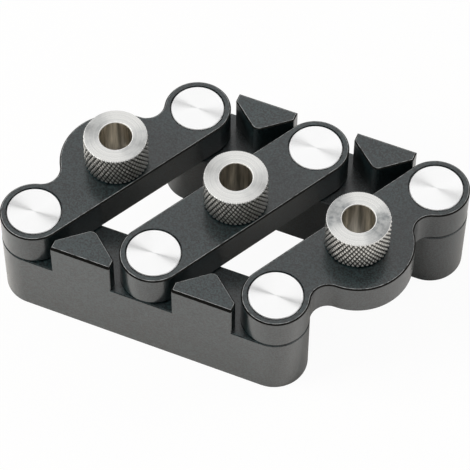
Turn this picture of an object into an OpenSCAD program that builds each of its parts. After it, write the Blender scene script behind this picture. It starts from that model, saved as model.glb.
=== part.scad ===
// Self centring doweling jig. Two clamping rails are joined by three swinging links, and every
// link carries a knurled drill bushing on the line half way between the rails.
// Millimetres. X runs along the rails, Y from the front rail to the back rail, and Z up.
// The origin is where the middle drill axis meets the plane that the rails stand on.

/* [Linkage] */
// Distance between the two pivots of a link
link_length = 62; // [56:1:68]
// Distance between neighbouring links, along the rails
link_pitch = 39; // [37:0.5:46]
// Angle between the links and the rails
link_angle = 60.5; // [45:0.5:135]

/* [Links] */
// Width of a link, which is the diameter of its round ends
link_w = 20.6; // [19:0.1:22]
// Thickness of a link
link_t = 11.5; // [9:0.1:14]
// Radius of the finger lobe on an outer link, about the drill axis
lobe_r = 17.4; // [15:0.1:19]
// Radius of the hollow between a lobe and a round end
neck_r = 5.5; // [4:0.1:8]
// Chamfer along the edges of a link
link_edge = 0.35; // [0.1:0.05:0.8]

/* [Rails] */
// Width of a rail
rail_w = 20.8; // [18:0.5:24]
// Height of the shelf that the links swing on
shelf_h = 24; // [22:0.5:30]
// Chamfer along the foot and the shelf of a rail
rail_edge = 0.3; // [0.1:0.05:0.8]

/* [Stop blocks] */
// Slope of the block sides, which is how far the links can lean
block_slope = 40; // [35:1:45]
// Clearance between a link's round end and the sloping side of a block
block_gap = 1.4; // [1:0.1:2.5]
// Depth of the square part of a block behind the rail's face
block_side = 3.4; // [2:0.1:4]
// Radius of the nose of a block
nose_r = 2.5; // [1.5:0.1:4]
// Chamfer round the top of a block
block_edge = 0.75; // [0.2:0.05:1]

/* [Pivots] */
// Diameter of the pin head that shows as a bright disc
pin_head_d = 16.4; // [14:0.1:17]
// Thickness of the pin head
pin_head_t = 3; // [2:0.1:4]
// Diameter of the pin that the link turns on
pin_d = 10; // [9:0.5:11]
// Width of the shoulder that seats on the rail
pin_shoulder = 1; // [0.5:0.1:1.2]
// Length of the spigot in the rail
spigot_l = 12; // [9:0.5:13]
// Wall of the plain bearing in the link
bush_wall = 1; // [0.6:0.1:1.5]
// Thickness of the washer that carries the link
washer_t = 0.5; // [0.3:0.1:1]
// Outer diameter of that washer
washer_d = 18; // [15:0.5:18.5]

/* [Pivot screws] */
// Diameter of the screw thread
screw_d = 5; // [4:0.5:5]
// Diameter of the screw head
screw_head_d = 8.5; // [7:0.1:9]
// Height of the screw head
screw_head_h = 5; // [3:0.1:5.5]
// Width across the flats of the hexagon socket
socket_af = 4; // [2.5:0.5:5]
// Depth of the hexagon socket
socket_deep = 2.6; // [1.5:0.1:2.8]
// Length of thread inside the pin
screw_grip = 9.5; // [6:0.5:10]

/* [Drill bushings] */
// Bore that guides the drill
bore_d = 10; // [6:0.5:10.5]
// Diameter over the knurling
head_d = 19.6; // [18.4:0.1:20]
// Height of the knurled head
head_h = 12; // [9:0.5:16]
// Diameter over the thread that screws into the link
shank_d = 14; // [12.5:0.5:15]
// Number of diamonds round the knurling
knurl_teeth = 42; // [30:2:60]
// Rows of diamonds up the knurling
knurl_rows = 8; // [4:1:12]
// Depth of the knurling
knurl_deep = 0.5; // [0.2:0.05:0.7]

/* [Hidden] */
$fn = 96;

// Clearances
running_gap = 0.05;     // round a part that turns or slides
seat_gap = 0.02;        // round a part that is pressed or screwed home
head_gap = 0.1;         // round and under a pin head, and over a bearing
spigot_end_gap = 0.5;   // below the spigot in its hole
screw_hole_gap = 0.4;   // round the screw where it passes through the rail
screw_head_gap = 0.4;   // round the screw head in its pocket
screw_recess = 0.5;     // from the rail's foot to the screw head
shank_short = 0.3;      // from the end of a bushing to the underside of its link
cut = 1;                // overrun of every cut
overlap = 2;            // how far the lobe and its webs run into the straight part of a link

// Small edges
pin_edge = 0.2;
mouth_edge = 0.15;      // mouth of a hole in a link
bore_edge = 0.4;        // both ends of the drill bore
shank_edge = 0.6;       // lead-in of the bushing thread
screw_edge = 0.4;
tap_spare = 1.2;        // hole beyond the end of the screw
relief_h = 0.5;         // plain ring under the knurling
relief_in = 0.9;        // how far that ring stands in from the knurling
foot_h = 0.3;           // height of the chamfer at the foot of the knurling
foot_in = 0.3;          // how far that chamfer reaches in
rim_edge = 0.45;        // chamfer at the top of the knurling

// Levels above the rails' feet
link_z = shelf_h + washer_t;
top_z = link_z + link_t;
floor_z = top_z - pin_head_t - head_gap;    // floor of the pin head's pocket
pocket_z = screw_recess + screw_head_h;     // seat of the screw head
spigot_z = shelf_h - spigot_l;
screw_tip_z = spigot_z + screw_grip;

// Plan of the linkage: the links' middles stay on the line half way between the rails
pivot_x = link_length / 2 * cos(link_angle);
pivot_y = link_length / 2 * sin(link_angle);
stations = [-link_pitch, 0, link_pitch];

// Fits
spigot_d = pin_d - 2 * pin_shoulder;
bush_id = pin_d + 2 * running_gap;
bush_od = bush_id + 2 * bush_wall;

// Hollow between a lobe and a round end: a circle that touches both of them
end_r = link_w / 2;
arm = link_length / 2;
neck_x = (arm ^ 2 + (lobe_r + neck_r) ^ 2 - (end_r + neck_r) ^ 2) / (2 * arm);
neck_y = sqrt((lobe_r + neck_r) ^ 2 - neck_x ^ 2);

// Plan of a stop block: its sloping sides pass every pivot at the same distance
slope_reach = end_r + block_gap;
block_y = rail_w / 2 - block_side;
side_x = (slope_reach - block_y * cos(block_slope)) / sin(block_slope);
block_half = link_pitch / 2 - side_x;
nose_y = block_half * tan(block_slope) - block_y - nose_r / cos(block_slope);
nose_steps = 12;

// A hole from z = 0 to z = h that overruns both ends
module hole(d, h)
    translate([0, 0, -cut]) cylinder(d = d, h = h + 2 * cut);

// A countersink whose mouth, at z = 0, is wider than d by the edge all round and faces up
module mouth(d, edge)
    translate([0, 0, -edge]) cylinder(d1 = d, d2 = d + 2 * (edge + cut), h = edge + cut);

// A round bar of length h with a chamfer at its foot and at its top
module turned(d, h, foot = 0, top = 0) {
    if (foot > 0) cylinder(d1 = d - 2 * foot, d2 = d, h = foot);
    translate([0, 0, foot]) cylinder(d = d, h = h - foot - top);
    if (top > 0) translate([0, 0, h - top]) cylinder(d1 = d, d2 = d - 2 * top, h = top);
}

// The round end of a plate whose two edges are chamfered
module plate_end(r, t, edge)
    rotate_extrude()
        polygon([[0, 0], [r - edge, 0], [r, edge], [r, t - edge], [r - edge, t], [0, t]]);

// The straight part of such a plate along X, centred, from y = -low to y = high. A side that
// lies on y = 0 is left square.
module plate_bar(length, t, edge, low, high) {
    side = high > 0 ? [[high - edge, 0], [high, edge], [high, t - edge], [high - edge, t]]
                    : [[0, 0], [0, t]];
    translate([-length / 2, 0, 0]) rotate([90, 0, 90]) linear_extrude(length)
        polygon(concat([[edge - low, t], [-low, t - edge], [-low, edge], [edge - low, 0]], side));
}

// The web between a lobe and a round end, hollowed by the neck circle, whose edges stay sharp
module neck_web()
    difference() {
        linear_extrude(link_t)
            polygon([[0, -overlap], [arm, -overlap], [arm, 0], [neck_x, neck_y], [0, 0]]);
        translate([neck_x, neck_y, 0]) hole(2 * neck_r, link_t);
    }

module link_blank(lobed) {
    for (x = [-arm, arm]) translate([x, 0, 0]) plate_end(end_r, link_t, link_edge);
    plate_bar(link_length, link_t, link_edge, end_r, lobed ? 0 : end_r);
    if (lobed) {
        difference() {
            plate_end(lobe_r, link_t, link_edge);
            translate([-lobe_r - cut, -lobe_r - cut, -cut])
                cube([2 * (lobe_r + cut), lobe_r + cut - overlap, link_t + 2 * cut]);
        }
        neck_web();
        mirror([1, 0, 0]) neck_web();
    }
}

// A link lies along X with its drill axis at the origin and a lobe on its +Y side
module swing_link(lobed)
    color("dimgray") difference() {
        link_blank(lobed);
        for (x = [-arm, arm]) translate([x, 0, 0]) {
            hole(bush_od + 2 * seat_gap, link_t);
            translate([0, 0, floor_z - link_z])
                cylinder(d = pin_head_d + 2 * head_gap, h = link_t);
            translate([0, 0, link_t]) mouth(pin_head_d + 2 * head_gap, mouth_edge);
        }
        hole(shank_d + 2 * running_gap, link_t);
        translate([0, 0, link_t]) mouth(shank_d + 2 * running_gap, mouth_edge);
    }

// Outline of a stop block, drawn in from its sides, with its middle on x = 0 and its nose to +Y
function block_outline(inset) = [
    [-block_half + inset, -rail_w / 2 + inset],
    [block_half - inset, -rail_w / 2 + inset],
    [block_half - inset, -block_y - inset * tan(45 - block_slope / 2)],
    for (step = [0 : nose_steps])
        let (a = 90 - block_slope + 2 * block_slope * step / nose_steps)
            [(nose_r - inset) * cos(a), nose_y + (nose_r - inset) * sin(a)],
    [-block_half + inset, -block_y - inset * tan(45 - block_slope / 2)]
];

module stop_block() {
    low = block_outline(0);
    high = block_outline(block_edge);
    n = len(low);
    foot_z = shelf_h - 2 * rail_edge;
    levels = [[low, foot_z], [low, top_z - block_edge], [high, top_z]];
    points = [for (level = levels) for (p = level[0]) [p[0], p[1], level[1]]];
    sides = [
        for (k = [0, 1], i = [0 : n - 1])
            let (j = (i + 1) % n) [k * n + i, (k + 1) * n + i, (k + 1) * n + j, k * n + j]
    ];
    foot = [for (i = [0 : n - 1]) i];
    roof = [for (i = [n - 1 : -1 : 0]) 2 * n + i];
    polyhedron(points, concat(sides, [foot, roof]));
}

// A rail lies along X with its middle pivot at the origin and the workpiece on its +Y side
module rail()
    color("dimgray") difference() {
        union() {
            for (x = [stations[0], stations[2]])
                translate([x, 0, 0]) plate_end(rail_w / 2, shelf_h, rail_edge);
            plate_bar(2 * link_pitch, shelf_h, rail_edge, rail_w / 2, rail_w / 2);
            for (side = [-1, 1]) translate([side * link_pitch / 2, 0, 0]) stop_block();
        }
        for (x = stations) translate([x, 0, 0]) {
            hole(screw_d + 2 * screw_hole_gap, shelf_h);
            translate([0, 0, spigot_z - spigot_end_gap])
                cylinder(d = spigot_d + 2 * seat_gap, h = shelf_h);
            translate([0, 0, -cut])
                cylinder(d = screw_head_d + 2 * screw_head_gap, h = pocket_z + cut);
            mirror([0, 0, 1]) mouth(screw_head_d + 2 * screw_head_gap, mouth_edge);
        }
    }

// A headed pin: its shoulder seats on the shelf and its spigot stands in the rail
module pivot_pin()
    color("gainsboro") difference() {
        union() {
            translate([0, 0, spigot_z]) turned(spigot_d, spigot_l, foot = pin_edge);
            translate([0, 0, shelf_h]) cylinder(d = pin_d, h = top_z - pin_head_t - shelf_h);
            translate([0, 0, top_z - pin_head_t]) turned(pin_head_d, pin_head_t, top = pin_edge);
        }
        translate([0, 0, spigot_z - cut])
            cylinder(d = screw_d + 2 * seat_gap, h = screw_grip + tap_spare + cut);
    }

module thrust_washer()
    color("black") translate([0, 0, shelf_h]) difference() {
        cylinder(d = washer_d, h = washer_t);
        hole(bush_id, washer_t);
    }

module pivot_bush()
    color("darkkhaki") translate([0, 0, link_z]) difference() {
        cylinder(d = bush_od, h = floor_z - link_z - head_gap);
        hole(bush_id, link_t);
    }

// A socket head screw that comes up through the rail into the pin
module pivot_screw()
    color("slategray") difference() {
        union() {
            translate([0, 0, screw_recess]) turned(screw_head_d, screw_head_h, foot = screw_edge);
            translate([0, 0, pocket_z]) turned(screw_d, screw_tip_z - pocket_z, top = screw_edge);
        }
        translate([0, 0, screw_recess - cut])
            cylinder(d = socket_af / cos(30), h = socket_deep + cut, $fn = 6);
    }

// Knurling: rings of points that stand alternately on the crest and in the root, each ring
// turned by one point from the last, so that four faces meet at every crest. A ring that is cut
// by a chamfer keeps within its limit.
function knurl_ring(m, z, limit) = [
    for (i = [0 : 2 * knurl_teeth - 1])
        let (a = 180 * i / knurl_teeth, r = min(head_d / 2 - ((i + m) % 2) * knurl_deep, limit))
            [r * cos(a), r * sin(a), z]
];

module knurling() {
    n = 2 * knurl_teeth;
    low = relief_h + foot_h;
    high = head_h - rim_edge;
    rings = concat([knurl_ring(1, relief_h, head_d / 2 - foot_in)],
                   [for (m = [0 : knurl_rows])
                        knurl_ring(m, low + (high - low) * m / knurl_rows, head_d / 2)],
                   [knurl_ring(knurl_rows, head_h, head_d / 2 - rim_edge)]);
    last = len(rings) - 1;
    sides = [
        for (k = [0 : last - 1], i = [0 : n - 1])
            let (j = (i + 1) % n, a = k * n + i, b = k * n + j, c = b + n, d = a + n,
                 crest_at_a = (i + k) % 2 == 1)
                each (crest_at_a ? [[a, d, b], [b, d, c]] : [[a, c, b], [a, d, c]])
    ];
    foot = [for (i = [0 : n - 1]) i];
    roof = [for (i = [n - 1 : -1 : 0]) last * n + i];
    polyhedron([for (ring = rings) each ring], concat(sides, [foot, roof]));
}

module drill_bushing()
    color("silver") translate([0, 0, top_z]) difference() {
        union() {
            knurling();
            cylinder(d = head_d - 2 * relief_in, h = relief_h);
            translate([0, 0, shank_short - link_t])
                turned(shank_d, link_t - shank_short, foot = shank_edge);
        }
        translate([0, 0, -link_t]) hole(bore_d, link_t + head_h);
        translate([0, 0, head_h]) mouth(bore_d, bore_edge);
        translate([0, 0, shank_short - link_t]) mirror([0, 0, 1]) mouth(bore_d, bore_edge);
    }

// Places: everything on the back rail is the front rail's turned half round the middle axis
module at_front(station) translate([stations[station] - pivot_x, -pivot_y, 0]) children();
module at_back(station) translate([stations[station] + pivot_x, pivot_y, 0]) children();
module at_middle(station) translate([stations[station], 0, 0]) children();

at_front(1) rail();  // front_rail
at_back(1) rotate(180) rail();  // back_rail

at_middle(0) translate([0, 0, link_z]) rotate(link_angle) swing_link(lobed = true);  // left_link
at_middle(1) translate([0, 0, link_z]) rotate(link_angle) swing_link(lobed = false);  // middle_link
at_middle(2) translate([0, 0, link_z]) rotate(link_angle + 180) swing_link(lobed = true);  // right_link

at_middle(0) drill_bushing();  // left_drill_bushing
at_middle(1) drill_bushing();  // middle_drill_bushing
at_middle(2) drill_bushing();  // right_drill_bushing

for (station = [0, 1, 2]) {
    side = ["left", "middle", "right"][station];
    at_front(station) pivot_pin();
    at_back(station) pivot_pin();
    at_front(station) thrust_washer();
    at_back(station) thrust_washer();
    at_front(station) pivot_bush();
    at_back(station) pivot_bush();
    at_front(station) pivot_screw();
    at_back(station) pivot_screw();
}
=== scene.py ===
import math

import bmesh
import bpy
from mathutils import Matrix, Vector


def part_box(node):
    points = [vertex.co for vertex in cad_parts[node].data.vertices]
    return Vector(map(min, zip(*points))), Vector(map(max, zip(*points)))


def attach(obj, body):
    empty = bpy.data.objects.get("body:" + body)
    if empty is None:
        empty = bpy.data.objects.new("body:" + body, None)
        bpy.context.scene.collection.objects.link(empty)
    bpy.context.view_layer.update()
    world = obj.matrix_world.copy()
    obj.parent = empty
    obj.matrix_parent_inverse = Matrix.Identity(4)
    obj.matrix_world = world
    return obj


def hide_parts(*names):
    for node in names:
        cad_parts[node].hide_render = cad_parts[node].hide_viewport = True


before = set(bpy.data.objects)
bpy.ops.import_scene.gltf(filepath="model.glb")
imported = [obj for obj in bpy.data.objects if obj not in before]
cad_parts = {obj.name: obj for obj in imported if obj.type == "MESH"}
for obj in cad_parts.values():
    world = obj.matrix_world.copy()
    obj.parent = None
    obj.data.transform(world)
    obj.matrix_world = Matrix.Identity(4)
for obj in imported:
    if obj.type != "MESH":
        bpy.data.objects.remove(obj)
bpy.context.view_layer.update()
mm = 0.001
print("frame loaded:", len(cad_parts), "nodes")


# a socket that takes part in sums, in shader trees and geometry trees alike
class Wire:
    def __init__(self, board, socket):
        self.board = board
        self.socket = socket

    def maths(self, operation, *others):
        return self.board.add("ShaderNodeMath", {"operation": operation},
                              dict(enumerate((self,) + others)))

    def __add__(self, other):
        return self.maths("ADD", other)

    def __radd__(self, other):
        return self.maths("ADD", other)

    def __sub__(self, other):
        return self.maths("SUBTRACT", other)

    def __rsub__(self, other):
        return self.board.add("ShaderNodeMath", {"operation": "SUBTRACT"}, {0: other, 1: self})

    def __mul__(self, other):
        return self.maths("MULTIPLY", other)

    def __rmul__(self, other):
        return self.maths("MULTIPLY", other)

    def __truediv__(self, other):
        return self.maths("DIVIDE", other)

    def __neg__(self):
        return self.maths("MULTIPLY", -1.0)

    def __abs__(self):
        return self.maths("ABSOLUTE")

    def power(self, exponent):
        return self.maths("POWER", exponent)

    def lower(self, other):
        return self.maths("MINIMUM", other)

    def higher(self, other):
        return self.maths("MAXIMUM", other)

    def cosine(self):
        return self.maths("COSINE")

    def sine(self):
        return self.maths("SINE")

    def held(self):
        return self.lower(1.0).higher(0.0)

    # 0 at low, 1 at high, eased between them
    def step(self, low, high):
        return self.board.add("ShaderNodeMapRange", {"interpolation_type": "SMOOTHSTEP"},
                              {"Value": self, "From Min": low, "From Max": high})

    # the same between two lengths in mm
    def stepMm(self, low, high):
        return self.step(low * mm, high * mm)

    # noise lies round 0.5; this lays it round 0
    def centred(self):
        return self - 0.5

    # a zigzag that runs 0, 1, 0 over every whole unit
    def zigzag(self):
        return 2.0 * self.maths("PINGPONG", 0.5)


# a node tree with one way to add any node: type, settings, then values or links
class Board:
    def __init__(self, tree):
        self.tree = tree

    def add(self, kind, settings=None, values=None, out=0):
        node = self.tree.nodes.new(kind)
        for name, value in (settings or {}).items():
            setattr(node, name, value)
        for name, value in (values or {}).items():
            self.feed(node.inputs[name], value)
        return node if out is None else Wire(self, node.outputs[out])

    def feed(self, socket, value):
        if isinstance(value, Wire):
            self.tree.links.new(value.socket, socket)
        elif isinstance(value, (list, tuple)) and isinstance(value[0], Wire):
            for wire in value:
                self.tree.links.new(wire.socket, socket)
        else:
            socket.default_value = value

    def blend(self, factor, first, second):
        return self.add("ShaderNodeMix", {"data_type": "RGBA"},
                        {"Factor": factor, 6: first, 7: second}, out=2)

    def split(self, vector):
        node = self.add("ShaderNodeSeparateXYZ", {}, {0: vector}, out=None)
        return [Wire(self, socket) for socket in node.outputs]

    def point(self, x, y, z):
        return self.add("ShaderNodeCombineXYZ", {}, {0: x, 1: y, 2: z})


# materials
def grey(value, warm=0.0):
    return (value * (1 + warm), value, value * (1 - warm), 1.0)


def newMaterial(name, shader):
    material = bpy.data.materials.new(name)
    material.use_nodes = True
    board = Board(material.node_tree)
    skin = material.node_tree.nodes["Principled BSDF"]
    for socket, value in shader.items():
        board.feed(skin.inputs[socket], value)
    return material, board, skin


def objectPlace(board):
    return board.add("ShaderNodeTexCoord", {}, {}, out="Object")


def attribute(board, name, out="Fac"):
    return board.add("ShaderNodeAttribute", {"attribute_name": name}, {}, out=out)


def noise(board, place, scale, detail=2.0, roughness=0.5):
    return board.add("ShaderNodeTexNoise", {},
                     {"Vector": place, "Scale": scale, "Detail": detail, "Roughness": roughness})


# noise that changes only with the distance from the axis
def ringNoise(board, radius, pitch, detail=2.0):
    return board.add("ShaderNodeTexNoise", {"noise_dimensions": "1D"},
                     {"W": radius, "Scale": 1.0 / pitch, "Detail": detail})


def fromAxis(x, y):
    return (x * x + y * y).power(0.5)


def bump(board, height, distance, strength):
    return board.add("ShaderNodeBump", {},
                     {"Height": height, "Distance": distance, "Strength": strength})


anodisedLook = {
    "dark": (0.0008, 0.0018, 0.0024, 1.0),
    "light": (0.0145, 0.0270, 0.0285, 1.0),
    # the chamfers' colour: near black, as painted shade
    "edge": (0.024, 0.023, 0.021, 1.0),
    "worn": (0.34, 0.345, 0.34, 1.0),   # the crests of the edges, rubbed bare and painted pale as a highlight
    "wornPatches": (0.25, 0.6),
    "grainScale": 2100.0,     # bead blast, in cells per metre
    "mottleScale": 620.0,
    "cloudScale": 45.0,
    "grainTone": 4.2,         # how far grain, mottle and clouds move the colour
    "mottleTone": 0.7,
    "cloudTone": 0.8,
    "grainRough": 0.12,       # and the roughness
    "mottleRough": 0.10,
    "cloudRough": 0.05,
    "grainShine": 0.6,        # and the shine
    "mottleShine": 0.15,
    "dullPatches": (0.35, 0.65),
    "grainDepth": 0.03 * mm,
    "grainStrength": 0.8,
    "roughness": 0.32,
    "edgeRoughness": 0.25,    # added on the chamfers, which are painted dull and near black as shade
    "ior": 1.46,
    "coatIor": 1.54,
    "coatRoughness": 0.20,
}


def makeAnodised():
    look = anodisedLook
    material, board, skin = newMaterial("anodised", {
        "IOR": look["ior"], "Coat IOR": look["coatIor"], "Coat Roughness": look["coatRoughness"]})
    place = objectPlace(board)
    grain = noise(board, place, look["grainScale"], detail=1.0)
    mottle = noise(board, place, look["mottleScale"])
    clouds = noise(board, place, look["cloudScale"], detail=3.0)
    # "edge" is 1 on the chamfers and 2 on their crests
    edge = attribute(board, "edge")
    crest = (edge - 1.0).held()
    chamfered = edge.held() - crest
    tone = (0.5 + look["grainTone"] * grain.centred() + look["mottleTone"] * mottle.centred()
            + look["cloudTone"] * clouds.centred()).held()
    metal = board.blend(tone, look["dark"], look["light"])
    # the chamfers are painted near black, metal and without coat: painted shade
    metal = board.blend(chamfered, metal, look["edge"])
    # the crests are painted pale grey in patches: rubbed-bare wear and a painted highlight
    metal = board.blend(crest * mottle.step(*look["wornPatches"]), metal, look["worn"])
    board.feed(skin.inputs["Base Color"], metal)
    board.feed(skin.inputs["Metallic"], chamfered)
    roughness = (look["roughness"] + look["grainRough"] * grain.centred()
                 + look["mottleRough"] * mottle.centred() + look["cloudRough"] * clouds.centred()
                 + look["edgeRoughness"] * chamfered)
    board.feed(skin.inputs["Roughness"], roughness)
    shine = (1.0 + look["grainShine"] * grain.centred()
             - look["mottleShine"] * mottle.step(*look["dullPatches"])).held()
    board.feed(skin.inputs["Coat Weight"], (1.0 - chamfered) * shine)
    board.feed(skin.inputs["Normal"], bump(board, grain, look["grainDepth"], look["grainStrength"]))
    return material


spunLook = {
    "colour": (1.0, 1.0, 0.995, 1.0),
    "dull": (0.975, 0.975, 0.98, 1.0),
    "groovePitch": 0.12 * mm,
    "grooveDepth": 0.0008 * mm,
    "grooveStrength": 0.6,
    "grooveTone": 0.35,
    "grooveRough": 0.06,
    "cloudScale": 260.0,
    "cloudTone": 0.5,
    "roughness": 0.23,
}


# "turned" is each piece's own attribute: the place measured from its axis
def turnedPlace(board):
    return attribute(board, "turned", out="Vector")


def makeSpunAluminium():
    look = spunLook
    material, board, skin = newMaterial("spunAluminium", {
        "Metallic": 1.0, "Anisotropic": 1.0, "Anisotropic Rotation": 0.25})
    place = turnedPlace(board)
    x, y = board.split(place)[:2]
    grooves = ringNoise(board, fromAxis(x, y), look["groovePitch"])
    clouds = noise(board, place, look["cloudScale"])
    tone = (look["grooveTone"] * grooves + look["cloudTone"] * clouds).held()
    board.feed(skin.inputs["Base Color"], board.blend(tone, look["colour"], look["dull"]))
    board.feed(skin.inputs["Roughness"], look["roughness"] + look["grooveRough"] * grooves.centred())
    board.feed(skin.inputs["Normal"], bump(board, grooves, look["grooveDepth"], look["grooveStrength"]))
    return material


steelLook = {
    "bright": (0.80, 0.795, 0.77, 1.0),
    "ring": (0.70, 0.70, 0.685, 1.0),
    "ringPitch": 0.8 * mm,
    "ringBands": (0.35, 0.7),
    "flank": (0.90, 0.89, 0.85, 1.0),
    # painted shade: the knurl's roots darken towards groove, and the undercut below the head is painted
    # black
    "groove": (0.050, 0.046, 0.038, 1.0),
    "shadedRootDepths": (0.30, 0.92),
    "paintedShadow": (0.02, 0.019, 0.017, 1.0),
    "bore": (0.95, 0.89, 0.78, 1.0),
    "boreDark": (0.40, 0.375, 0.32, 1.0),
    "boreStart": (0.02, 0.06),      # mm outside the bore's wall
    "streakAcross": 900.0,          # streaks along the bore, in cells per metre
    "streakAlong": 60.0,
    "streakBands": (0.3, 0.7),
    "smudgeAndShade": (0.20, 0.215, 0.225, 1.0),
    "smudgeScale": 330.0,
    "smudgeBands": (0.36, 0.72),
    "sideShadeLeast": 0.4,
    "shadeBeside": (0.45, 0.98),   # painted shade lies left and right of the bore, with the smudges in it
    "leastRadius": 0.1 * mm,
    "topStart": (0.25, 0.05),       # mm below the top
    "polishedHighlight": (0.95, 0.945, 0.92, 1.0),
    "rubbedHighlightStart": (0.5, 0.4),      # mm below the top
    "rubbedHighlightBlend": 0.1,             # mm from a rubbed edge to the flat top
    "rubbedHighlightGlare": 0.7,             # the rubbed edges are made part non-metal so the lamps light them: a painted highlight
    "markPitch": 0.16 * mm,
    "markDepth": 0.0012 * mm,
    "markStrength": 0.7,
    "roughness": 0.27,
    "markRough": 0.10,
    "smudgeAndShadeRough": 0.12,
    "grooveRough": 0.12,
    "boreRough": 0.06,
}


def makeBushingSteel(size):
    look = steelLook
    material, board, skin = newMaterial("bushingSteel", {"Anisotropic": 0.75, "Anisotropic Rotation": 0.25})
    x, y, z = board.split(turnedPlace(board))
    radius = fromAxis(x, y)
    top, head, bore = size["headHigh"], size["head"] / 2, size["bore"] / 2
    marks = ringNoise(board, radius, look["markPitch"])
    onTop = z.stepMm(*(top - below for below in look["topStart"]))
    inBore = 1.0 - radius.stepMm(*(bore + aside for aside in look["boreStart"]))
    # handling marks as soft clouds, a little bluish, on painted shade left and right of the bore
    clouds = noise(board, objectPlace(board), look["smudgeScale"], detail=5.0, roughness=0.68)
    sideShade = (abs(x) / radius.higher(look["leastRadius"])).step(*look["shadeBeside"])
    smudgedAndShaded = look["sideShadeLeast"] + (1.0 - look["sideShadeLeast"]) * clouds.step(*look["smudgeBands"])
    smudgeAndShade = smudgedAndShaded * sideShade * onTop * attribute(board, "handled")
    # painted shade in the roots of the knurling
    depth = attribute(board, "root")
    streakPlace = board.point(x * look["streakAcross"], y * look["streakAcross"], z * look["streakAlong"])
    streak = noise(board, streakPlace, 1.0)
    turning = ringNoise(board, radius, look["ringPitch"], detail=3.0)
    metal = board.blend(turning.step(*look["ringBands"]), look["bright"], look["ring"])
    metal = board.blend(smudgeAndShade, metal, look["smudgeAndShade"])
    metal = board.blend(onTop, look["flank"], metal)
    metal = board.blend(depth.step(*look["shadedRootDepths"]), metal, look["groove"])
    metal = board.blend((depth - 1.0).held(), metal, look["paintedShadow"])
    # the rounded edges are rubbed bare, and painted pale and part non-metal as a highlight
    rimIn, lipOut = head - size["rimEdge"], bore + size["boreEdge"]
    rim = radius.stepMm(rimIn, rimIn + look["rubbedHighlightBlend"])
    lip = 1.0 - radius.stepMm(lipOut - look["rubbedHighlightBlend"], lipOut)
    rubbedHighlight = ((rim + lip) * z.stepMm(*(top - below for below in look["rubbedHighlightStart"]))).held()
    metal = board.blend(rubbedHighlight, metal, look["polishedHighlight"])
    board.feed(skin.inputs["Metallic"], 1.0 - look["rubbedHighlightGlare"] * rubbedHighlight)
    boreTone = board.blend(streak.step(*look["streakBands"]), look["boreDark"], look["bore"])
    board.feed(skin.inputs["Base Color"], board.blend(inBore, metal, boreTone))
    roughness = (look["roughness"] + look["markRough"] * marks.centred() + look["smudgeAndShadeRough"] * smudgeAndShade
                 + look["grooveRough"] * depth + look["boreRough"] * inBore)
    board.feed(skin.inputs["Roughness"], roughness)
    board.feed(skin.inputs["Normal"], bump(board, marks * onTop, look["markDepth"], look["markStrength"]))
    return material


polymerLook = {
    "dark": grey(0.014),
    "light": grey(0.026),
    "grainScale": 2600.0,
    "grainRough": 0.16,
    "grainDepth": 0.01 * mm,
    "grainStrength": 0.4,
    "roughness": 0.5,
}


def makePolymer():
    look = polymerLook
    material, board, skin = newMaterial("bearingPolymer", {})
    grain = noise(board, objectPlace(board), look["grainScale"])
    board.feed(skin.inputs["Base Color"], board.blend(grain, look["dark"], look["light"]))
    board.feed(skin.inputs["Roughness"], look["roughness"] + look["grainRough"] * grain.centred())
    board.feed(skin.inputs["Normal"], bump(board, grain, look["grainDepth"], look["grainStrength"]))
    return material


blackSteelLook = {
    "black": grey(0.055),
    "worn": grey(0.16, warm=0.04),
    "wornMost": 0.5,
    "wornScale": 420.0,
    "wornPatches": (0.55, 0.75),
    "wornSmooth": 0.06,
    "grainScale": 1500.0,
    "grainRough": 0.14,
    "grainDepth": 0.008 * mm,
    "grainStrength": 0.5,
    "roughness": 0.40,
    "metallic": 0.85,
}


def makeBlackSteel():
    look = blackSteelLook
    material, board, skin = newMaterial("screwSteel", {"Metallic": look["metallic"]})
    place = turnedPlace(board)
    grain = noise(board, place, look["grainScale"], detail=3.0)
    worn = noise(board, place, look["wornScale"], detail=3.0).step(*look["wornPatches"])
    board.feed(skin.inputs["Base Color"], board.blend(worn * look["wornMost"], look["black"], look["worn"]))
    board.feed(skin.inputs["Roughness"],
               look["roughness"] + look["grainRough"] * grain.centred() - look["wornSmooth"] * worn)
    board.feed(skin.inputs["Normal"], bump(board, grain, look["grainDepth"], look["grainStrength"]))
    return material


# mesh helpers
chamferMark = 1      # material slots mark the faces until the end: 0 is plain
crestMark = 2
facingUp = 0.99      # the least z of a flat top's normal
markedDepth = 1.0    # mm below a top in which the marks are kept
sameHeight = 0.01    # mm
samePoint = 1e-4     # mm
cutPast = 1.0        # mm that a cutter reaches past what it cuts


def meshPiece(name, mesh):
    piece = bpy.data.objects.new(name, mesh)
    bpy.context.scene.collection.objects.link(piece)
    return piece


def fromBmesh(name, made):
    mesh = bpy.data.meshes.new(name)
    made.to_mesh(mesh)
    made.free()
    return meshPiece(name, mesh)


def applyModifiers(piece):
    graph = bpy.context.evaluated_depsgraph_get()
    mesh = bpy.data.meshes.new_from_object(piece.evaluated_get(graph), preserve_all_data_layers=True,
                                           depsgraph=graph)
    mesh.name = piece.name
    old = piece.data
    piece.modifiers.clear()
    piece.data = mesh
    bpy.data.meshes.remove(old)


# flat bevels, each as wide in mm as its edge's weight; the new faces take the mark
def bevelEdges(piece, mark):
    bevel = piece.modifiers.new("edges", "BEVEL")
    bevel.limit_method = "WEIGHT"
    bevel.width = 1.0 * mm
    bevel.segments = 1
    bevel.material = mark
    applyModifiers(piece)


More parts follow.
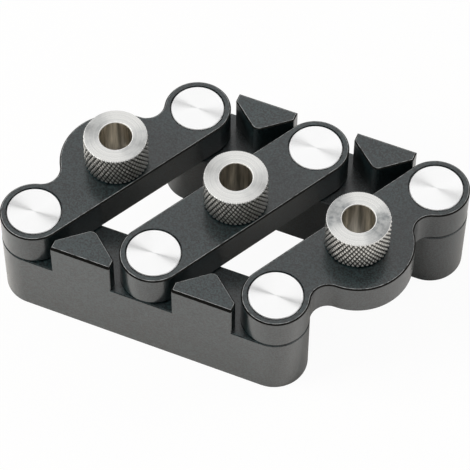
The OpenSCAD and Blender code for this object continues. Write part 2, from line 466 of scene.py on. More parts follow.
# chamfers, and a narrow crest between each one and the flat top that it runs round
def chamfer(piece, crest):
    while len(piece.data.materials) <= crestMark:
        piece.data.materials.append(None)
    bevelEdges(piece, chamferMark)
    made = bmesh.new()
    made.from_mesh(piece.data)
    weight = made.edges.layers.float["bevel_weight_edge"]
    for edge in made.edges:
        edge[weight] = 0.0
        marks = sorted(face.material_index for face in edge.link_faces)
        if marks == [0, chamferMark] and max(face.normal.z for face in edge.link_faces) > facingUp:
            edge[weight] = crest
    made.to_mesh(piece.data)
    made.free()
    bevelEdges(piece, crestMark)


# the marks become the material's "edge" value near the top, and 0 below
def keepMarks(piece, top):
    mesh = piece.data
    level = (top - markedDepth) * mm
    marks = mesh.attributes.new("edge", "FLOAT", "FACE")
    for face, mark in zip(mesh.polygons, marks.data):
        mark.value = face.material_index if face.center.z > level else 0.0
        face.material_index = 0


def smooth(piece, degrees):
    mesh = piece.data
    for face in mesh.polygons:
        face.use_smooth = True
    mesh.set_sharp_from_angle(angle=math.radians(degrees))


def evenNormals(piece):
    weighted = piece.modifiers.new("evenNormals", "WEIGHTED_NORMAL")
    weighted.keep_sharp = True
    weighted.weight = 90
    applyModifiers(piece)


def arc(centre, radius, start, stop, steps):
    return [(centre[0] + radius * math.cos(math.radians(start + (stop - start) * i / steps)),
             centre[1] + radius * math.sin(math.radians(start + (stop - start) * i / steps)))
            for i in range(steps + 1)]


def tidy(outline):
    kept = []
    for p in outline:
        if not kept or math.dist(p, kept[-1]) > samePoint:
            kept.append(p)
    if math.dist(kept[0], kept[-1]) < samePoint:
        kept.pop()
    return kept


# a point turned about the origin, in radians, and moved to the centre
def placed(x, y, angle, centre):
    return (centre[0] + x * math.cos(angle) - y * math.sin(angle),
            centre[1] + x * math.sin(angle) + y * math.cos(angle))


# a plate with the outline's shape between two heights, closed
def plate(made, outline, low, high):
    foot = [made.verts.new((x * mm, y * mm, low * mm)) for x, y in outline]
    roof = [made.verts.new((x * mm, y * mm, high * mm)) for x, y in outline]
    made.faces.new(list(reversed(foot)))
    made.faces.new(roof)
    count = len(outline)
    for i in range(count):
        j = (i + 1) % count
        made.faces.new((foot[i], foot[j], roof[j], roof[i]))


# a closed turned body; the profile is (radius, height) pairs in mm, and radius 0 is one point
def turnedBody(name, profile, centre, steps=96):
    made = bmesh.new()
    store = made.verts.layers.float_vector.new("turned")
    rings = []
    for radius, height in profile:
        ring = []
        for i in range(steps if radius > 0 else 1):
            a = 2 * math.pi * i / steps
            local = Vector((radius * math.cos(a), radius * math.sin(a), height)) * mm
            vert = made.verts.new(local + Vector((centre[0] * mm, centre[1] * mm, 0)))
            vert[store] = local
            ring.append(vert)
        rings.append(ring)
    for below, above in zip(rings, rings[1:] + rings[:1]):
        if len(below) == 1 and len(above) == 1:
            continue
        for i in range(steps):
            j = (i + 1) % steps
            if len(below) == 1:
                made.faces.new((below[0], above[j], above[i]))
            elif len(above) == 1:
                made.faces.new((below[i], below[j], above[0]))
            else:
                made.faces.new((below[i], below[j], above[j], above[i]))
    bmesh.ops.recalc_face_normals(made, faces=made.faces)
    return fromBmesh(name, made)


def cutWith(piece, cutters):
    for cutter in cutters:
        cutting = piece.modifiers.new("cut", "BOOLEAN")
        cutting.operation = "DIFFERENCE"
        cutting.solver = "EXACT"
        cutting.object = cutter
        applyModifiers(piece)
        bpy.data.objects.remove(cutter)


def finishPiece(piece, body, nodes, material):
    piece.data.materials.clear()
    piece.data.materials.append(material)
    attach(piece, body)
    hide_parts(*nodes)


# where things are, from the frame
def middle(node):
    low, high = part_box(node)
    return ((low.x + high.x) / 2 / mm, (low.y + high.y) / 2 / mm)


def levels(node):
    low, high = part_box(node)
    return low.z / mm, high.z / mm


sides = ("left", "middle", "right")
rows = ("front", "back")
pivots = {(row, side): middle(row + "_" + side + "_pivot_pin") for row in rows for side in sides}
drillAxes = {side: middle(side + "_drill_bushing") for side in sides}
linkLow, linkHigh = levels("middle_link")
along = Vector(pivots["back", "middle"]) - Vector(pivots["front", "middle"])
linkLength = along.length
linkAngle = math.degrees(math.atan2(along.y, along.x))
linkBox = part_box("middle_link")
linkWidth = (linkBox[1].x - linkBox[0].x) / mm - linkLength * math.cos(math.radians(linkAngle))
pitch = pivots["front", "right"][0] - pivots["front", "middle"][0]
print("linkage: %.1f mm links at %.1f degrees, %.1f mm pitch" % (linkLength, linkAngle, pitch))

anodised = makeAnodised()
spunAluminium = makeSpunAluminium()
polymer = makePolymer()
blackSteel = makeBlackSteel()
print("materials made")


# links: a flat bar with round ends, and on the outer two a lobe round the drill axis
linkShape = {
    "lobeRadius": 17.4,
    "neckRadius": 5.5,
    "edge": 0.45,
    "foot": 0.16,
    "crest": 0.07,
    "pinPocket": 17.0,
    "pocketDepth": 3.1,
    "bearingBore": 12.14,
    "shankBore": 14.1,
    "mouth": 0.12,
    "quarterSteps": 24,
    "endSteps": 30,
    "neckSteps": 16,
    "lobeSteps": 48,
}


def linkOutline(shape, lobed):
    arm, half, steps = linkLength / 2, linkWidth / 2, shape["quarterSteps"]
    outline = arc((-arm, 0), half, 180, 270, steps) + arc((arm, 0), half, 270, 360, steps)
    if not lobed:
        return tidy(outline + arc((arm, 0), half, 0, 90, steps) + arc((-arm, 0), half, 90, 180, steps))
    lobe, neck = shape["lobeRadius"], shape["neckRadius"]
    # the hollow is a circle that touches the lobe and the round end
    x = (arm ** 2 + (lobe + neck) ** 2 - (half + neck) ** 2) / (2 * arm)
    y = math.sqrt((lobe + neck) ** 2 - x ** 2)
    atEnd = math.degrees(math.atan2(y, x - arm))
    atLobe = math.degrees(math.atan2(y, x))
    outline += arc((arm, 0), half, 0, atEnd, shape["endSteps"])
    outline += arc((x, y), neck, atEnd - 180, atLobe - 180, shape["neckSteps"])
    outline += arc((0, 0), lobe, atLobe, 180 - atLobe, shape["lobeSteps"])
    outline += arc((-x, y), neck, -atLobe, -atEnd, shape["neckSteps"])
    outline += arc((-arm, 0), half, 180 - atEnd, 180, shape["endSteps"])
    return tidy(outline)


def makeLink(side, lobed, turned):
    shape = linkShape
    name = side + "_link"
    angle = math.radians(linkAngle + turned)
    centre = drillAxes[side]
    made = bmesh.new()
    outline = [placed(x, y, angle, centre) for x, y in linkOutline(shape, lobed)]
    plate(made, outline, linkLow, linkHigh)
    weight = made.edges.layers.float.new("bevel_weight_edge")
    for edge in made.edges:
        a, b = (v.co.z / mm for v in edge.verts)
        if abs(a - b) < sameHeight:
            edge[weight] = shape["foot"] if abs(a - linkLow) < sameHeight else shape["edge"]
    piece = fromBmesh("dressed_" + name, made)
    chamfer(piece, shape["crest"])
    floor, lip = linkHigh - shape["pocketDepth"], shape["mouth"]
    below, above = linkLow - cutPast, linkHigh + cutPast
    pocket, bearing, shank = shape["pinPocket"] / 2, shape["bearingBore"] / 2, shape["shankBore"] / 2
    cutters = [
        turnedBody("cutter", [(0, below), (bearing, below), (bearing, floor), (pocket, floor),
                              (pocket, linkHigh - lip), (pocket + lip + cutPast, above), (0, above)],
                   pivots[row, side])
        for row in rows]
    cutters.append(turnedBody("cutter", [(0, below), (shank, below), (shank, linkHigh - lip),
                                         (shank + lip + cutPast, above), (0, above)], centre))
    cutWith(piece, cutters)
    keepMarks(piece, linkHigh)
    smooth(piece, degrees=35)
    evenNormals(piece)
    finishPiece(piece, side + "_arm", [name], anodised)


makeLink("left", lobed=True, turned=0)
makeLink("middle", lobed=False, turned=0)
makeLink("right", lobed=True, turned=180)
print("links made")


# rails: a bar with round ends and two stop blocks that stand on its outer side
railShape = {
    "edge": 0.3,
    "crest": 0.07,
    "foot": 0.3,
    "blockSlope": 40.0,
    "blockSide": 3.4,
    "blockGap": 1.4,
    "noseRadius": 2.5,
    "blockOuterEdge": 0.72,
    "blockEdge": 0.4,
    "blockCorner": 0.25,
    "screwPocket": 9.3,
    "pocketDepth": 5.5,
    "screwHole": 5.8,
    "spigotHole": 8.04,
    "spigotFloor": 11.5,
    "mouth": 0.15,
    "noseSteps": 10,
    "endSteps": 40,
    "sharpFrom": 20.0,      # degrees between two faces, from which their edge is chamfered
}


# inner side of a stop block, from its left corner round the nose to its right corner
def blockPath(shape, width):
    slope = math.radians(shape["blockSlope"])
    shoulder = width / 2 - shape["blockSide"]
    reach = linkWidth / 2 + shape["blockGap"]
    half = pitch / 2 - (reach - shoulder * math.cos(slope)) / math.sin(slope)
    nose = half * math.tan(slope) - shoulder - shape["noseRadius"] / math.cos(slope)
    around = arc((0, nose), shape["noseRadius"], 90 + shape["blockSlope"], 90 - shape["blockSlope"],
                 shape["noseSteps"])
    return half, [(-half, -shoulder)] + around + [(half, -shoulder)]


def makeRail(row, turned):
    shape = railShape
    name = row + "_rail"
    low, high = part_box(name)
    top = high.z / mm
    width = (high.x - low.x) / mm - 2 * pitch
    shelf = levels("front_middle_thrust_washer")[0]
    blockHalf, path = blockPath(shape, width)
    centre = pivots[row, "middle"]
    spin = math.radians(turned)
    made = bmesh.new()
    weight = made.edges.layers.float.new("bevel_weight_edge")
    corners = {}

    def corner(x, y, z):
        key = tuple(round(value, ndigits=4) for value in (x, y, z))
        if key not in corners:
            x, y = placed(x, y, spin, centre)
            corners[key] = made.verts.new((x * mm, y * mm, z * mm))
        return corners[key]

    def face(points):
        return made.faces.new([corner(*p) for p in points])

    rightEnd = arc((pitch, 0), width / 2, -90, 90, shape["endSteps"])
    leftEnd = arc((-pitch, 0), width / 2, 90, 270, shape["endSteps"])
    ring = rightEnd + leftEnd
    face([(x, y, 0) for x, y in reversed(ring)])
    for end in (rightEnd, leftEnd):
        for a, b in zip(end, end[1:]):
            face([(*a, 0), (*b, 0), (*b, shelf), (*a, shelf)])
    face([(*rightEnd[-1], 0), (*leftEnd[0], 0), (*leftEnd[0], shelf), (*rightEnd[-1], shelf)])
    outer = -width / 2
    front = [(-pitch, 0), (pitch, 0), (pitch, shelf)]
    shelfLine = []
    for x in (-pitch / 2, pitch / 2):
        left, right = x - blockHalf, x + blockHalf
        inner = [(x + px, py) for px, py in path]
        around = [(left, outer)] + inner + [(right, outer)]
        shelfLine += around
        face([(left, outer, top), (right, outer, top)] + [(*p, top) for p in reversed(inner)])
        for a, b in zip(around, around[1:]):
            face([(*a, shelf), (*a, top), (*b, top), (*b, shelf)])
    face([(x, y, shelf) for x, y in shelfLine + ring])
    for x in (pitch / 2, -pitch / 2):
        front += [(x + blockHalf, shelf), (x + blockHalf, top), (x - blockHalf, top), (x - blockHalf, shelf)]
    front.append((-pitch, shelf))
    face([(x, outer, z) for x, z in front])
    bmesh.ops.recalc_face_normals(made, faces=made.faces)
    sharpFrom = math.radians(shape["sharpFrom"])
    for edge in made.edges:
        if len(edge.link_faces) != 2 or not edge.is_convex or edge.calc_face_angle() < sharpFrom:
            continue
        a, b = (v.co.z / mm for v in edge.verts)
        onOuter = all(abs((v.co.y / mm - centre[1]) * math.cos(spin) - outer) < sameHeight
                      for v in edge.verts)
        if min(a, b) > top - sameHeight:
            edge[weight] = shape["blockOuterEdge"] if onOuter else shape["blockEdge"]
        elif max(a, b) < sameHeight:
            edge[weight] = shape["foot"]
        elif abs(a - b) < sameHeight:
            edge[weight] = shape["edge"]
        else:
            edge[weight] = shape["blockCorner"]
    piece = fromBmesh("dressed_" + name, made)
    chamfer(piece, shape["crest"])
    pocket, hole, spigot = shape["screwPocket"] / 2, shape["screwHole"] / 2, shape["spigotHole"] / 2
    lip, pocketRoof, spigotFloor = shape["mouth"], shape["pocketDepth"], shape["spigotFloor"]
    above = shelf + cutPast
    cutWith(piece, [
        turnedBody("cutter", [(0, -cutPast), (pocket + lip + cutPast, -cutPast), (pocket, lip),
                              (pocket, pocketRoof), (hole, pocketRoof), (hole, spigotFloor),
                              (spigot, spigotFloor), (spigot, above), (0, above)],
                   pivots[row, side]) for side in sides])
    keepMarks(piece, top)
    smooth(piece, degrees=30)
    evenNormals(piece)
    finishPiece(piece, row + "_jaw", [name], anodised)


makeRail("front", turned=0)
makeRail("back", turned=180)
print("rails made")


# pivot pins, washers and bearings: turned pieces
pinShape = {"head": 16.4, "headHeight": 3.0, "headRings": 6, "shoulder": 10.0, "spigot": 8.0,
            "spigotLength": 12.0, "edge": 0.2, "tapped": 5.04, "tapDepth": 10.7, "steps": 128}
washerShape = {"outer": 18.0, "inner": 10.1, "edge": 0.08, "clear": 0.01}
bearingShape = {"outer": 12.1, "inner": 10.1, "edge": 0.15, "clear": 0.01}


def makePin(row, side):
    shape = pinShape
    name = row + "_" + side + "_pivot_pin"
    low, high = levels(name)
    shelf = low + shape["spigotLength"]
    head, neck, spigot, tap = (shape[key] / 2 for key in ("head", "shoulder", "spigot", "tapped"))
    edge = shape["edge"]
    under = high - shape["headHeight"]
    profile = [(tap, low), (spigot - edge, low), (spigot, low + edge), (spigot, shelf), (neck, shelf),
               (neck, under), (head - edge, under), (head, under + edge), (head, high - edge),
               (head - edge, high)]
    profile += [(head * ring / shape["headRings"], high) for ring in reversed(range(shape["headRings"]))]
    profile += [(0, low + shape["tapDepth"]), (tap, low + shape["tapDepth"])]
    piece = turnedBody("dressed_" + name, profile, pivots[row, side], shape["steps"])
    smooth(piece, degrees=30)
    finishPiece(piece, row + "_jaw", [name], spunAluminium)


def makeRing(name, body, shape, centre):
    low, high = levels(name)
    low, high = low + shape["clear"], high - shape["clear"]
    outer, inner, edge = shape["outer"] / 2, shape["inner"] / 2, shape["edge"]
    piece = turnedBody("dressed_" + name, [
        (inner + edge, low), (outer - edge, low), (outer, low + edge), (outer, high - edge),
        (outer - edge, high), (inner + edge, high), (inner, high - edge), (inner, low + edge)], centre)
    smooth(piece, degrees=30)
    finishPiece(piece, body, [name], polymer)


for row in rows:
    for side in sides:
        makePin(row, side)
        makeRing(row + "_" + side + "_thrust_washer", row + "_jaw", washerShape, pivots[row, side])
        makeRing(row + "_" + side + "_pivot_bush", side + "_arm", bearingShape, pivots[row, side])
print("pins, washers and bearings made")


weldWithin = 0.0015 * mm


# the same value all over a band
def steady(value):
    return lambda u, v: v * 0.0 + value


# Geometry Nodes: turned bodies built from bands, each a grid wrapped round the axis
class Turning(Board):
    def __init__(self, name, sizes, counts):
        super().__init__(bpy.data.node_groups.new(name, "GeometryNodeTree"))
        panel = self.tree.interface
        panel.new_socket(name="Geometry", in_out="OUTPUT", socket_type="NodeSocketGeometry")
        self.keys = {}
        for values, kind in ((sizes, "NodeSocketFloat"), (counts, "NodeSocketInt")):
            for label, value in values.items():
                socket = panel.new_socket(name=label, in_out="INPUT", socket_type=kind)
                socket.default_value = value
                self.keys[label] = socket.identifier
        for label, kind in (("place", "NodeSocketVector"), ("finish", "NodeSocketMaterial")):
            self.keys[label] = panel.new_socket(name=label, in_out="INPUT", socket_type=kind).identifier
        self.entry = self.tree.nodes.new("NodeGroupInput")
        self.bands = []

    def size(self, label):
        return Wire(self, self.entry.outputs[label])

    # radiusAt(u, v) and heightAt(u, v): u runs once round the axis, v along the profile, in mm
    def band(self, columns, bandRows, radiusAt, heightAt, root=None):
        grid = self.add("GeometryNodeMeshGrid", {}, {"Size X": 1.0, "Size Y": 1.0,
                                                     "Vertices X": columns + 1, "Vertices Y": bandRows + 1})
        x, y = self.split(self.add("GeometryNodeInputPosition"))[:2]
        u, v = x + 0.5, y + 0.5
        radius, turn = radiusAt(u, v) * mm, u * (2 * math.pi)
        if root is not None:
            grid = self.add("GeometryNodeStoreNamedAttribute", {"data_type": "FLOAT", "domain": "POINT"},
                            {"Geometry": grid, "Name": "root", "Value": root(u, v)})
        self.bands.append(self.add("GeometryNodeSetPosition", {}, {
            "Geometry": grid,
            "Position": self.point(radius * turn.cosine(), radius * turn.sine(), heightAt(u, v) * mm)}))

    # straight bands through (radius, height) pairs, given as sockets or numbers
    def profile(self, columns, points):
        for (r0, z0), (r1, z1) in zip(points, points[1:]):
            self.band(columns, 1, lambda u, v: v * (r1 - r0) + r0, lambda u, v: v * (z1 - z0) + z0)

    # weld the bands, keep each point's place from the axis, and put copies at the points
    def finish(self, points=None):
        made = self.add("GeometryNodeJoinGeometry", {}, {"Geometry": self.bands})
        made = self.add("GeometryNodeMergeByDistance", {}, {"Geometry": made, "Distance": weldWithin})
        made = self.add("GeometryNodeStoreNamedAttribute",
                        {"data_type": "FLOAT_VECTOR", "domain": "POINT"},
                        {"Geometry": made, "Name": "turned", "Value": self.add("GeometryNodeInputPosition")})
        if points is not None:
            made = self.add("GeometryNodeInstanceOnPoints", {}, {"Points": points, "Instance": made})
        made = self.add("GeometryNodeTransform", {}, {"Geometry": made, "Translation": self.size("place")})
        made = self.add("GeometryNodeRealizeInstances", {}, {"Geometry": made})
        made = self.add("GeometryNodeSetMaterial", {}, {"Geometry": made, "Material": self.size("finish")})
        end = self.tree.nodes.new("NodeGroupOutput")
        self.feed(end.inputs["Geometry"], made)
        return self


def growPiece(name, turning, values):
    seed = meshPiece(name, bpy.data.meshes.new(name))
    grown = seed.modifiers.new("grown", "NODES")
    grown.node_group = turning.tree
    for label, value in values.items():
        grown[turning.keys[label]] = value
    applyModifiers(seed)
    return seed


# drill bushings: knurled head, bore, and a threaded shank in the link
bushingShape = {
    "bore": 10.0,
    "boreEdge": 0.35,
    "head": 19.6,
    "headHigh": 12.0,
    "rimEdge": 0.45,
    "rimGroove": 0.7,
    "footHigh": 0.3,
    "footIn": 0.3,
    "reliefHigh": 0.5,
    "reliefIn": 0.9,
    "knurlDeep": 0.5,
    "tipFlatLeft": 1.15,      # higher values leave flatter tips and narrower grooves
    "tipFlatRight": 1.6,
    "shank": 14.0,
    "shankLong": 11.2,
    "shankEdge": 0.6,
    "threadPitch": 1.0,
    "threadDeep": 0.32,
}
bushingCounts = {"teeth": 42, "rowsLeaningLeft": 10, "rowsLeaningRight": 7}


def bushingTree():
    tree = Turning("knurledBushing", bushingShape, bushingCounts)
    size = tree.size
    head, bore, shank = size("head") / 2, size("bore") / 2, size("shank") / 2
    columnsPerTooth, knurlRows, threadRows, edgeRows = 8, 64, 60, 5
    columns = size("teeth") * columnsPerTooth
    relief, top, rim = size("reliefHigh"), size("headHigh"), size("rimEdge")
    bottom = -size("shankLong")
    edge, lead, deep = size("boreEdge"), size("shankEdge"), size("threadDeep")
    threadStarts, threadEnds = (0.0, 0.06), (0.97, 1.0)      # where it runs out to its root
    paintedShadow = steady(2.0)      # roots from 0 to 1 are painted darker as shade, and beyond 1 they are painted black as shadow
    rootFades = 1.6

    # two families of grooves cross round the head; where they cross is a root, between them a tip
    def rise(u, z):
        around = u * size("teeth")
        up = (z - relief - size("footHigh")) / ((top - rim - relief - size("footHigh")) * 2)
        leftward = 1.0 - (around + up * size("rowsLeaningLeft")).zigzag()
        rightward = 1.0 - (around - up * size("rowsLeaningRight")).zigzag()
        return (leftward * size("tipFlatLeft")).lower(rightward * size("tipFlatRight")).held()

    def groove(u, z):
        nearRim = ((z - top + rim) / rim + 1.0).held()
        return (1.0 - rise(u, z)) * (1.0 - nearRim * (1.0 - size("rimGroove")))

    def knurled(u, z):
        foot = head - size("footIn") + (z - relief) * size("footIn") / size("footHigh")
        return (head - groove(u, z) * size("knurlDeep")).lower(foot)

    def knurlHeight(u, v):
        return v * (top - rim - relief) + relief

    def thread(u, v):
        turns = (v * (0.0 - bottom - lead + deep) / size("threadPitch") - u).zigzag()
        return shank - deep * turns.higher(1.0 - v.step(*threadStarts)).higher(v.step(*threadEnds))

    # a rounded edge between the side and the flat top, on the outside or round the bore
    def roundEdge(radius, bulge, high, root=None):
        quarter = math.pi / 2
        tree.band(columns, edgeRows, lambda u, v: radius + bulge(u) * (v * quarter).cosine(),
                  lambda u, v: top - high + high * (v * quarter).sine(), root=root)

    ring = head - size("reliefIn")
    tree.profile(columns, [(bore, bottom + edge), (bore + edge, bottom), (shank - lead, bottom),
                           (shank - deep, bottom + lead - deep)])
    tree.band(columns, threadRows, thread, lambda u, v: v * (deep - lead - bottom) + (bottom + lead - deep))
    tree.profile(columns, [(shank - deep, 0.0), (ring, 0.0)])
    # the undercut below the knurled head is painted black as shadow
    tree.band(columns, 1, steady(ring), lambda u, v: v * relief, root=paintedShadow)
    tree.band(columns, 1, lambda u, v: ring + v * (knurled(u, relief) - ring), steady(relief), root=paintedShadow)
    tree.band(columns, knurlRows, lambda u, v: knurled(u, knurlHeight(u, v)), knurlHeight,
              root=lambda u, v: groove(u, knurlHeight(u, v)))
    # the grooves run out in the rounded rim
    roundEdge(head - rim, lambda u: rim - groove(u, top - rim) * size("knurlDeep"), rim,
              root=lambda u, v: groove(u, top - rim) * (1.0 - rootFades * v).held())
    tree.profile(columns, [(head - rim, top), (bore + edge, top)])
    roundEdge(bore + edge, lambda u: -edge, edge)
    tree.profile(columns, [(bore, top - edge), (bore, bottom + edge)])
    return tree.finish()


bushingSteel = makeBushingSteel(bushingShape)
knurledBushing = bushingTree()
handledAndShadedBy = {"left": 0.5, "middle": 0.3, "right": 1.0}      # how far each top is smudged and painted with shade
for side in sides:
    name = side + "_drill_bushing"
    x, y = drillAxes[side]
    piece = growPiece("dressed_" + name, knurledBushing,
                      {"place": (x * mm, y * mm, linkHigh * mm), "finish": bushingSteel})
    handled = piece.data.attributes.new("handled", "FLOAT", "POINT")
    handled.data.foreach_set("value", [handledAndShadedBy[side]] * len(piece.data.vertices))
    smooth(piece, degrees=28)
    finishPiece(piece, side + "_bushing", [name], bushingSteel)
    print(name, len(piece.data.polygons), "faces")


# pivot screws: socket head screws that come up through the rails
screwShape = {
    "thread": 5.0,
    "threadPitch": 0.8,
    "threadDeep": 0.3,
    "headWide": 8.5,
    "headHigh": 5.0,
    "headEdge": 0.4,
    "gripDeep": 0.12,
    "socket": 4.0,
    "socketDeep": 2.6,
    "length": 16.0,
    "spacing": 39.0,
}
screwCounts = {"gripTeeth": 32, "copies": 3}


def screwTree():
    tree = Turning("socketScrews", screwShape, screwCounts)
    size = tree.size
    columns, gripRows, threadRows = 192, 12, 78
    head, thread = size("headWide") / 2, size("thread") / 2
    headHigh, length, edge = size("headHigh"), size("length"), size("headEdge")
    deep, socketSides = size("socketDeep"), 6.0
    gripEnds, threadEnds = (0.15, 0.85), (0.05, 0.96)

    def hexagon(u, v):
        sector = (u * socketSides).maths("FRACT") - 0.5
        return size("socket") / 2 / (sector * (2 * math.pi / socketSides)).cosine()

    # 1 along a band, and 0 at its two ends
    def between(v, ends):
        return v.step(0.0, ends[0]) - v.step(ends[1], 1.0)

    def grip(u, v):
        return head - (u * size("gripTeeth")).zigzag() * size("gripDeep") * between(v, gripEnds)

    def threaded(u, v):
        turns = (v * (length - edge) / size("threadPitch") - u).zigzag()
        return thread - size("threadDeep") * turns * between(v, threadEnds)

    tree.band(columns, 1, lambda u, v: v * hexagon(u, v), steady(deep))
    tree.band(columns, 1, hexagon, lambda u, v: deep - v * deep)
    tree.band(columns, 1, lambda u, v: hexagon(u, v) + v * (head - edge - hexagon(u, v)), steady(0.0))
    tree.profile(columns, [(head - edge, 0.0), (head, edge)])
    tree.band(columns, gripRows, grip, lambda u, v: edge + v * (headHigh - edge))
    tree.profile(columns, [(head, headHigh), (thread, headHigh)])
    tree.band(columns, threadRows, threaded, lambda u, v: headHigh + v * (length - edge))
    tree.profile(columns, [(thread, headHigh + length - edge), (thread - edge, headHigh + length)])
    tree.band(columns, 1, lambda u, v: (1.0 - v) * (thread - edge), steady(headHigh + length))
    line = tree.add("GeometryNodeMeshLine", {"mode": "OFFSET"}, {
        "Count": size("copies"), "Start Location": (0.0, 0.0, 0.0),
        "Offset": tree.point(size("spacing") * mm, 0.0, 0.0)})
    return tree.finish(line)


socketScrews = screwTree()
for row in rows:
    x, y = pivots[row, "left"]
    names = [row + "_" + side + "_pivot_screw" for side in sides]
    low = levels(names[0])[0]
    piece = growPiece("dressed_" + row + "_pivot_screws", socketScrews,
                      {"place": (x * mm, y * mm, low * mm), "finish": blackSteel, "spacing": pitch})
    smooth(piece, degrees=30)
    finishPiece(piece, row + "_jaw", names, blackSteel)
    print(row, "screws", len(piece.data.polygons), "faces")


# floor, light and camera
cameraView = {
    "azimuth": 21.863,
    "elevation": 56.527,
    "roll": 0.48,
    "distance": 782.9,
    "target": (4.657, -11.97, 36.061),
    "focalPixels": 2629.2,
    "framePixels": 470,
}


# the direction from the target back to the camera
def backOf(view):
    azimuth, elevation = math.radians(view["azimuth"]), math.radians(view["elevation"])
    return Vector((math.sin(azimuth) * math.cos(elevation), -math.cos(azimuth) * math.cos(elevation),
                   math.sin(elevation)))


viewBack = backOf(cameraView)

floorLook = {
    "colour": (0.83, 0.80, 0.765, 1.0),
    "roughness": 0.9,
    "glowSeen": 0.95,
    "glowOpen": 0.24,       # mirrored away from the jig's foot, and nothing close to it
    "lean": 0.566,          # the jig's outline at rest: a parallelogram
    "halfLength": 49.0,
    "halfDepth": 37.0,
    "openWide": 14.0,
    "size": 6.0,            # metres; the other lengths are in mm
    "below": 0.02,
}


def makeFloor():
    look = floorLook
    made = bmesh.new()
    bmesh.ops.create_grid(made, x_segments=1, y_segments=1, size=look["size"] / 2)
    bmesh.ops.translate(made, verts=made.verts, vec=(0.0, 0.0, -look["below"] * mm))
    floor = fromBmesh("floor", made)
    material, board, skin = newMaterial("paleFloor", {
        "Base Color": look["colour"], "Roughness": look["roughness"]})
    paths = board.add("ShaderNodeLightPath", {}, {}, out=None)
    seen = Wire(board, paths.outputs["Is Camera Ray"])
    reflected = Wire(board, paths.outputs["Is Glossy Ray"])
    x, y = board.split(objectPlace(board))[:2]
    away = (abs(x - look["lean"] * y) - look["halfLength"] * mm).higher(abs(y) - look["halfDepth"] * mm)
    mirrored = look["glowOpen"] * away.stepMm(0.0, look["openWide"])
    glow = board.add("ShaderNodeEmission", {}, {"Color": (1, 1, 1, 1), "Strength": 1.0})
    both = board.add("ShaderNodeMixShader", {}, {
        0: (seen * look["glowSeen"] + reflected * mirrored).held(),
        1: Wire(board, skin.outputs[0]), 2: glow})
    board.feed(material.node_tree.nodes["Material Output"].inputs["Surface"], both)
    floor.data.materials.append(material)


makeFloor()

studio = {
    "roomForDiffuse": 0.36,
    "frontDark": 0.91,      # the dark side of the room, behind the camera
    "frontWide": (0.2, 0.55),
    "frontHigh": (0.64, 0.82),
    "horizonDark": 0.86,    # the walls above the table's edge, except the one behind
    "horizonHigh": (0.28, 0.48),
    "behindWide": (0.45, 0.75),
    "leastReach": 0.001,
    "stripDark": 0.97,      # two dark strips in the ceiling, in one line that leans from left to right
    "stripTurn": 1.0,
    "stripHalf": 2.0,       # half a strip's width, in degrees, and how softly it ends
    "stripSoft": 1.0,
    "stripGap": (6.0, 11.0),    # where the strips stop, from the spot that the flat tops mirror
}


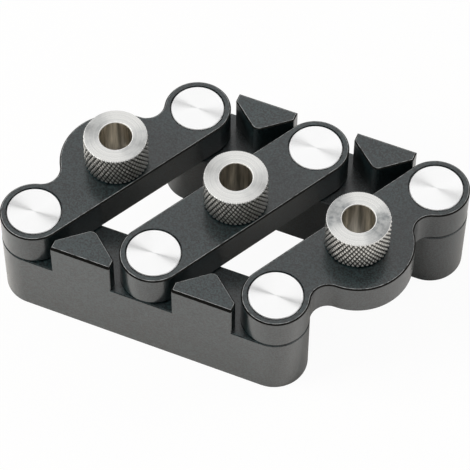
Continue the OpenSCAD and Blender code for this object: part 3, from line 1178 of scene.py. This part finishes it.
def makeWorld():
    world = bpy.data.worlds.new("studio")
    bpy.context.scene.world = world
    world.use_nodes = True
    board = Board(world.node_tree)
    background = world.node_tree.nodes["Background"]
    paths = board.add("ShaderNodeLightPath", {}, {}, out=None)
    seen = Wire(board, paths.outputs["Is Camera Ray"])
    glossy = Wire(board, paths.outputs["Is Glossy Ray"])
    through = Wire(board, paths.outputs["Is Transmission Ray"])
    x, y, z = board.split(board.add("ShaderNodeTexCoord", {}, {}, out="Generated"))
    spot = Vector((-viewBack.x, -viewBack.y, viewBack.z))
    front = (-y).step(*studio["frontWide"]) * (1.0 - z.step(*studio["frontHigh"]))
    behind = (y * spot.y + x * spot.x) / (fromAxis(x, y).higher(studio["leastReach"]) * spot.xy.length)
    horizon = (1.0 - z.step(*studio["horizonHigh"])) * (1.0 - behind.step(*studio["behindWide"]))
    shade = (1.0 - front * studio["frontDark"]) * (1.0 - horizon * studio["horizonDark"])
    # the strips lie where grooves that run across this direction throw their light
    turn = math.radians(90.0 + studio["stripTurn"])
    across = Vector((math.cos(turn), math.sin(turn), 0.0))
    level = spot.dot(across)
    lean = math.sqrt(1.0 - level * level)
    offLine = abs(x * across.x + y * across.y - level)
    strip = 1.0 - offLine.step(math.radians(studio["stripHalf"]) * lean,
                               math.radians(studio["stripHalf"] + studio["stripSoft"]) * lean)
    gapStart, gapEnd = (math.cos(math.radians(angle)) for angle in studio["stripGap"])
    nearSpot = (x * spot.x + y * spot.y + z * spot.z).step(gapEnd, gapStart)
    shade = shade * (1.0 - strip * (1.0 - nearSpot) * studio["stripDark"])
    strength = (seen + through + glossy * shade).lower(1.0)
    strength = strength.higher(studio["roomForDiffuse"] * (1.0 - seen - glossy - through))
    board.feed(background.inputs["Color"], (1.0, 1.0, 1.0, 1.0))
    board.feed(background.inputs["Strength"], strength)


makeWorld()


lamps = {
    "frontLeft": {"place": (-0.68, -0.42, 0.55), "width": 0.5, "power": 9.4},
    "rightFill": {"place": (0.58, 0.56, 0.42), "width": 0.5, "power": 3.6},
}


# a square lamp that shines on the jig and isn't mirrored in it
def softLamp(name, place, width, power):
    lamp = bpy.data.lights.new(name, "AREA")
    lamp.shape = "SQUARE"
    lamp.size = width
    lamp.energy = power
    holder = bpy.data.objects.new(name, lamp)
    holder.location = place
    holder.visible_glossy = False
    holder.rotation_euler = (-Vector(place)).to_track_quat("-Z", "Y").to_euler()
    bpy.context.scene.collection.objects.link(holder)


for name, lamp in lamps.items():
    softLamp(name, **lamp)
print("floor and light made")


def makeCamera():
    view = cameraView
    azimuth, roll = math.radians(view["azimuth"]), math.radians(view["roll"])
    right = Vector((math.cos(azimuth), math.sin(azimuth), 0))
    up = viewBack.cross(right)
    rolledRight = math.cos(roll) * right + math.sin(roll) * up
    rolledUp = math.cos(roll) * up - math.sin(roll) * right
    lens = bpy.data.cameras.new("photoCamera")
    lens.sensor_width = 36.0
    lens.lens = view["focalPixels"] * lens.sensor_width / view["framePixels"]
    lens.clip_start = 0.01
    holder = bpy.data.objects.new("photoCamera", lens)
    turn = Matrix((rolledRight, rolledUp, viewBack)).transposed().to_4x4()
    eye = (Vector(view["target"]) + viewBack * view["distance"]) * mm
    holder.matrix_world = Matrix.Translation(eye) @ turn
    bpy.context.scene.collection.objects.link(holder)
    bpy.context.scene.camera = holder


makeCamera()
bpy.context.scene.view_settings.view_transform = "Standard"
print("camera set")
